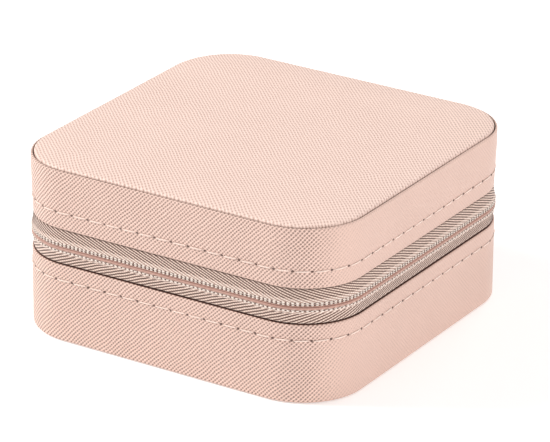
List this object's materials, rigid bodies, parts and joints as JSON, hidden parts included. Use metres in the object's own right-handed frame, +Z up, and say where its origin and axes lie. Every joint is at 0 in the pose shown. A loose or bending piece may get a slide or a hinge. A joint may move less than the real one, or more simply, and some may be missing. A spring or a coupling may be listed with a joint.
{
  "type": "travel jewelry case",
  "caption": "Small square zip-up travel jewelry case in stitched cross-grain leather with padded hinged lid, ring rolls, lift-out dividers, necklace tabs and lid pocket.",
  "frame": {"origin": "centre of the resting face under the base", "axes": "+Z up, -Y the front, +Y the hinge side, -X the side where the zipper slider is parked"},
  "size_m": [0.1039, 0.1008, 0.05],
  "materials": {
    "leather_side": "fine cross-hatched grain, satin",
    "leather_top": "fine cross-hatched grain, satin, padded",
    "board": "matt greyboard",
    "velvet": "short-pile velvet",
    "thread": "twisted sewing thread",
    "zip_tape": "woven herringbone tape",
    "zip_coil": "nylon coil",
    "metal": "polished, rose-gold plated",
    "foam": "soft foam, hidden",
    "pocket_cloth": "gathered satin cloth",
    "elastic": "ribbed elastic"
  },
  "bodies": {
    "base": {"base_shell": "board", "base_side_skin": "leather_side", "base_bottom_skin": "leather_side", "base_lining": "velvet", "base_stitches": "thread", "zipper_tape_lower": "zip_tape", "zipper_coil_lower": "zip_coil", "end_stops_lower": "metal", "hinge_strip": "leather_side", "hinge_lining": "velvet", "partition": "velvet", "divider_guides": "velvet", "ring_roll_1": "velvet", "ring_roll_2": "velvet", "ring_roll_3": "velvet", "ring_roll_4": "velvet", "ring_roll_5": "velvet", "ring_roll_6": "velvet", "ring_roll_7": "velvet"},
    "lid": {"lid_shell": "board", "lid_side_skin": "leather_side", "lid_top_skin": "leather_top", "lid_foam_pad": "foam", "lid_lining": "velvet", "lid_stitches": "thread", "zipper_tape_upper": "zip_tape", "zipper_coil_upper": "zip_coil", "end_stops_upper": "metal", "lid_pocket": "pocket_cloth", "pocket_elastic": "elastic", "tab_anchor": "leather_side", "snap_studs": "metal"},
    "slider": {"slider_body": "metal", "slider_bail": "metal"},
    "pull": {"pull_tab": "metal"},
    "divider_left": {"divider_left": "velvet"},
    "divider_right": {"divider_right": "velvet"},
    "necklace_tab_1": {"necklace_tab_1": "leather_side", "snap_cap_1": "metal"},
    "necklace_tab_2": {"necklace_tab_2": "leather_side", "snap_cap_2": "metal"},
    "necklace_tab_3": {"necklace_tab_3": "leather_side", "snap_cap_3": "metal"}
  },
  "joints": [
    {"name": "lid_hinge", "type": "hinge", "parent": "base", "child": "lid", "pos_m": [0, 0.0506, 0.027], "axis": [-1, 0, 0], "range_deg": [0, 110], "deforming": ["hinge_strip", "hinge_lining"]},
    {"name": "slider_travel", "type": "slide", "parent": "base", "child": "slider", "axis": [0, -1, 0], "range_m": [0, 0.054], "deforming": ["zipper_coil_lower", "zipper_coil_upper"]},
    {"name": "pull_swing", "type": "hinge", "parent": "slider", "child": "pull", "pos_m": [-0.0522, 0.027, 0.027], "axis": [0, 0, -1], "range_deg": [0, 165]},
    {"name": "divider_left_lift", "type": "slide", "parent": "base", "child": "divider_left", "axis": [0, 0, 1], "range_m": [0, 0.016]},
    {"name": "divider_right_lift", "type": "slide", "parent": "base", "child": "divider_right", "axis": [0, 0, 1], "range_m": [0, 0.016]},
    {"name": "necklace_tab_1_swing", "type": "hinge", "parent": "lid", "child": "necklace_tab_1", "pos_m": [-0.024, -0.042, 0.0429], "axis": [-1, 0, 0], "range_deg": [0, 85]},
    {"name": "necklace_tab_2_swing", "type": "hinge", "parent": "lid", "child": "necklace_tab_2", "pos_m": [0, -0.042, 0.0429], "axis": [-1, 0, 0], "range_deg": [0, 85]},
    {"name": "necklace_tab_3_swing", "type": "hinge", "parent": "lid", "child": "necklace_tab_3", "pos_m": [0.024, -0.042, 0.0429], "axis": [-1, 0, 0], "range_deg": [0, 85]}
  ]
}
